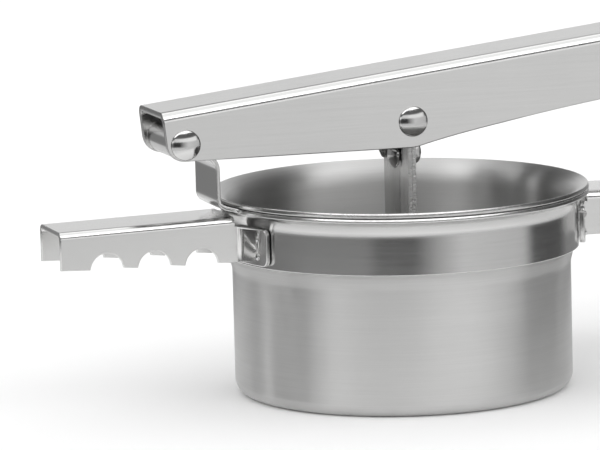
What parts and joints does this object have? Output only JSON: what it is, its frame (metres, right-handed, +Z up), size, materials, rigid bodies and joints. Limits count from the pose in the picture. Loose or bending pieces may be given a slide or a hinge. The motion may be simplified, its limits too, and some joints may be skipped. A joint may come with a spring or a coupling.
{
  "type": "potato ricer",
  "caption": "Sheet-steel potato ricer: lever and hanging press plate over a perforated basket in a ring with a notched pot rest and a rear handle.",
  "frame": {"origin": "centre of the underside of the basket", "axes": "+X from the pot rest to the free ends of the handles, +Z up out of the basket"},
  "size_m": [0.3059, 0.092, 0.1026],
  "materials": {
    "polished_sheet": "polished stainless sheet with a fine lengthwise grain",
    "ring_steel": "polished stainless, fine grain round the ring",
    "basket_steel": "stainless, brushed round the bore",
    "rivet_steel": "polished domed heads",
    "post_steel": "stainless strip, polished faces and rough cut edges"
  },
  "bodies": {
    "root": {"holder_ring": "ring_steel", "basket": "basket_steel", "pot_rest": "polished_sheet", "rear_handle": "polished_sheet"},
    "lever": {"lever": "polished_sheet", "lever_rivet": "rivet_steel", "plunger_rivet": "rivet_steel"},
    "plunger": {"plunger_post": "post_steel", "press_plate": "basket_steel", "post_rivet": "rivet_steel", "plate_rivet_left": "rivet_steel", "plate_rivet_right": "rivet_steel"}
  },
  "joints": [
    {"name": "lever_hinge", "type": "hinge", "parent": "root", "child": "lever", "pos_m": [-0.0574, 0, 0.0649], "axis": [0, -1, 0], "range_deg": [0, 50]},
    {"name": "plunger_hinge", "type": "hinge", "parent": "lever", "child": "plunger", "pos_m": [0.0002, 0, 0.0667], "axis": [0, -1, 0], "range_deg": [-34, 0]}
  ],
  "couplings": [
    {"joint": "plunger_hinge", "follows": "lever_hinge", "ratio": -0.67}
  ]
}
